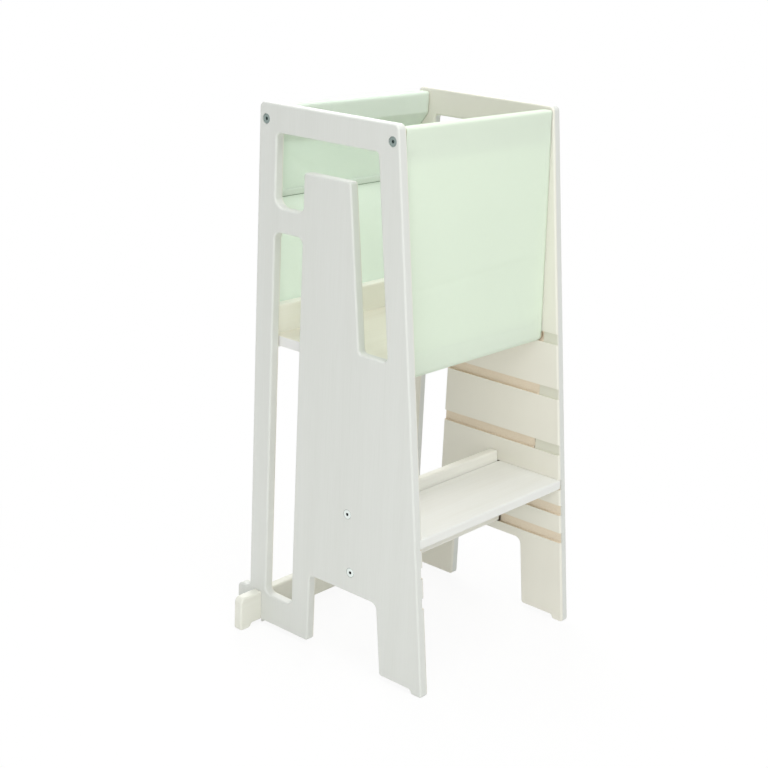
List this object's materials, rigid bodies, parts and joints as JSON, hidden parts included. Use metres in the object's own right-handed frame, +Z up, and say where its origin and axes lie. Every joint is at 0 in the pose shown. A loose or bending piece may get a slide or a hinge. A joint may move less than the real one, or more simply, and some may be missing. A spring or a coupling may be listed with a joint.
{
  "type": "toddler kitchen helper stool",
  "caption": "Child's kitchen helper tower: two one-piece side panels with rails, a riser and a base board, cloth guards front and rear, a platform and a slide-out step.",
  "frame": {"origin": "centre of the footprint's bounding box, on the floor", "axes": "+X across the tower towards the right panel, +Y from the step side to the worktop side, +Z up"},
  "size_m": [0.5, 0.4236, 0.9],
  "materials": {
    "painted_plywood": "thin off-white paint over birch plywood, satin",
    "painted_board": "off-white paint, satin",
    "bare_wood": "bare, sanded",
    "cloth": "plain-woven cotton canvas, mint",
    "dark_zinc": "zinc plated, in shadow",
    "zinc": "zinc plated"
  },
  "bodies": {
    "tower": {"left_side_panel": "painted_plywood", "right_side_panel": "painted_plywood", "front_top_rail": "bare_wood", "rear_top_rail": "bare_wood", "riser_board": "painted_board", "rear_base_board": "painted_plywood", "platform_board": "painted_board", "platform_upstand": "painted_board", "front_cloth": "cloth", "rear_cloth": "cloth", "rear_cloth_flap": "cloth", "front_hem_rod": "bare_wood", "rear_hem_rod": "bare_wood", "rail_bolts": "dark_zinc", "riser_bolts": "zinc", "rail_inserts": "zinc", "riser_inserts": "zinc", "upstand_screws": "zinc"},
    "step": {"step_board": "painted_board"}
  },
  "joints": [
    {"name": "step_slide", "type": "slide", "parent": "tower", "child": "step", "axis": [0, -1, 0], "range_m": [0, 0.12]}
  ]
}
